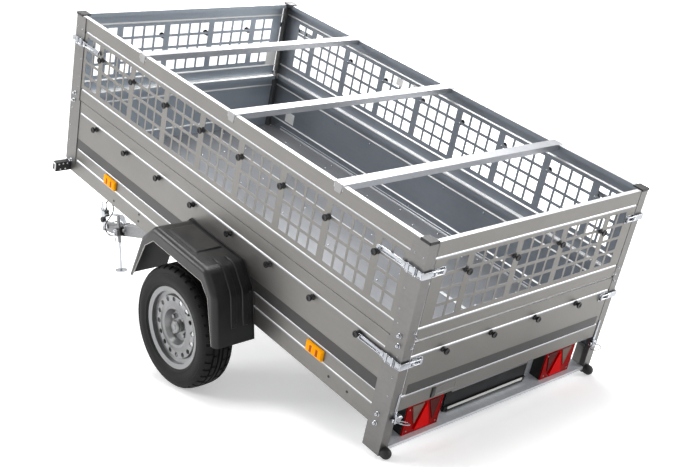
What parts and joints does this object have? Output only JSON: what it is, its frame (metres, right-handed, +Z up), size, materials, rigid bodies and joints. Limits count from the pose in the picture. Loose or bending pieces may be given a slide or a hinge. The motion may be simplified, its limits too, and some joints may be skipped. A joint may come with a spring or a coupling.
{
  "type": "utility trailer",
  "caption": "Single-axle tipping box trailer with folded steel sides, mesh side extensions, drop tailgate, drawbar with ball coupling and support leg, parked tipped back.",
  "frame": {"origin": "on the ground under the middle of the trailer's length and width, as it stands tipped back", "axes": "+X forward towards the coupling, +Y to the left side, +Z up"},
  "size_m": [3.3161, 1.684, 1.5538],
  "materials": {
    "amber_lens": "clear moulded lens",
    "black_paint": "satin black",
    "black_plastic": "fine grained",
    "black_rubber": "matt rubber",
    "bright_zinc": "bright zinc plate",
    "clear_lens": "clear moulded lens",
    "galvanised": "satin hot-dip galvanised sheet",
    "red_lens": "clear moulded lens",
    "rubber_tyre": "matt rubber",
    "silver_paint": "silver wheel paint"
  },
  "bodies": {
    "drawbar": {"coupling_handle": "galvanised", "coupling_head": "galvanised", "drawbar_tube": "galvanised", "leg_clamp": "black_paint", "leg_rod": "bright_zinc", "leg_tube": "bright_zinc"},
    "bed": {"axle_beam": "galvanised", "bed_floor": "galvanised", "centre_rails": "galvanised", "cross_members": "galvanised", "crossbar_front": "galvanised", "crossbar_middle": "galvanised", "crossbar_rear": "galvanised", "front_board": "galvanised", "latches": "bright_zinc", "lower_posts": "galvanised", "mesh_panel_left": "galvanised", "mesh_panel_right": "galvanised", "mesh_posts": "galvanised", "mudguard_left": "black_plastic", "mudguard_right": "black_plastic", "pivot_ears": "galvanised", "plate_carrier": "black_plastic", "position_lamp_bodies": "black_plastic", "position_lenses": "clear_lens", "post_caps": "galvanised", "rear_buffers": "black_rubber", "rear_lamp_housings": "black_plastic", "rear_lenses": "red_lens", "rear_sill": "galvanised", "side_board_left": "galvanised", "side_board_right": "galvanised", "side_markers": "amber_lens", "tipping_pin": "bright_zinc"},
    "tailgate": {"tailgate": "galvanised", "tailgate_catches": "bright_zinc"},
    "rear_mesh_door": {"rear_mesh_catches": "bright_zinc", "rear_mesh_panel": "galvanised"},
    "front_mesh_door": {"front_mesh_catches": "bright_zinc", "front_mesh_panel": "galvanised"},
    "wheel_left": {"rim_left": "silver_paint", "tyre_left": "rubber_tyre", "hub_left": "bright_zinc"},
    "wheel_right": {"rim_right": "silver_paint", "tyre_right": "rubber_tyre", "hub_right": "bright_zinc"}
  },
  "joints": [
    {"name": "bed_tip", "type": "hinge", "parent": "drawbar", "child": "bed", "pos_m": [-0.14746, 0, 0.43307], "axis": [0, 1, 0], "range_deg": [0, 23.1]},
    {"name": "tailgate_hinge", "type": "hinge", "parent": "bed", "child": "tailgate", "pos_m": [-1.4505, 0, 0.20814], "axis": [0, -1, 0], "range_deg": [0, 100]},
    {"name": "rear_mesh_hinge", "type": "hinge", "parent": "bed", "child": "rear_mesh_door", "pos_m": [-1.53709, 0, 0.5058], "axis": [0, -1, 0], "range_deg": [0, 100]},
    {"name": "front_mesh_hinge", "type": "hinge", "parent": "bed", "child": "front_mesh_door", "pos_m": [0.7501, 0, 1.17116], "axis": [0, 1, 0], "range_deg": [0, 100]},
    {"name": "wheel_left_spin", "type": "hinge", "parent": "bed", "child": "wheel_left", "pos_m": [-0.30933, 0.756, 0.2735], "axis": [0, 1, 0], "continuous": true},
    {"name": "wheel_right_spin", "type": "hinge", "parent": "bed", "child": "wheel_right", "pos_m": [-0.30933, -0.756, 0.2735], "axis": [0, 1, 0], "continuous": true}
  ]
}
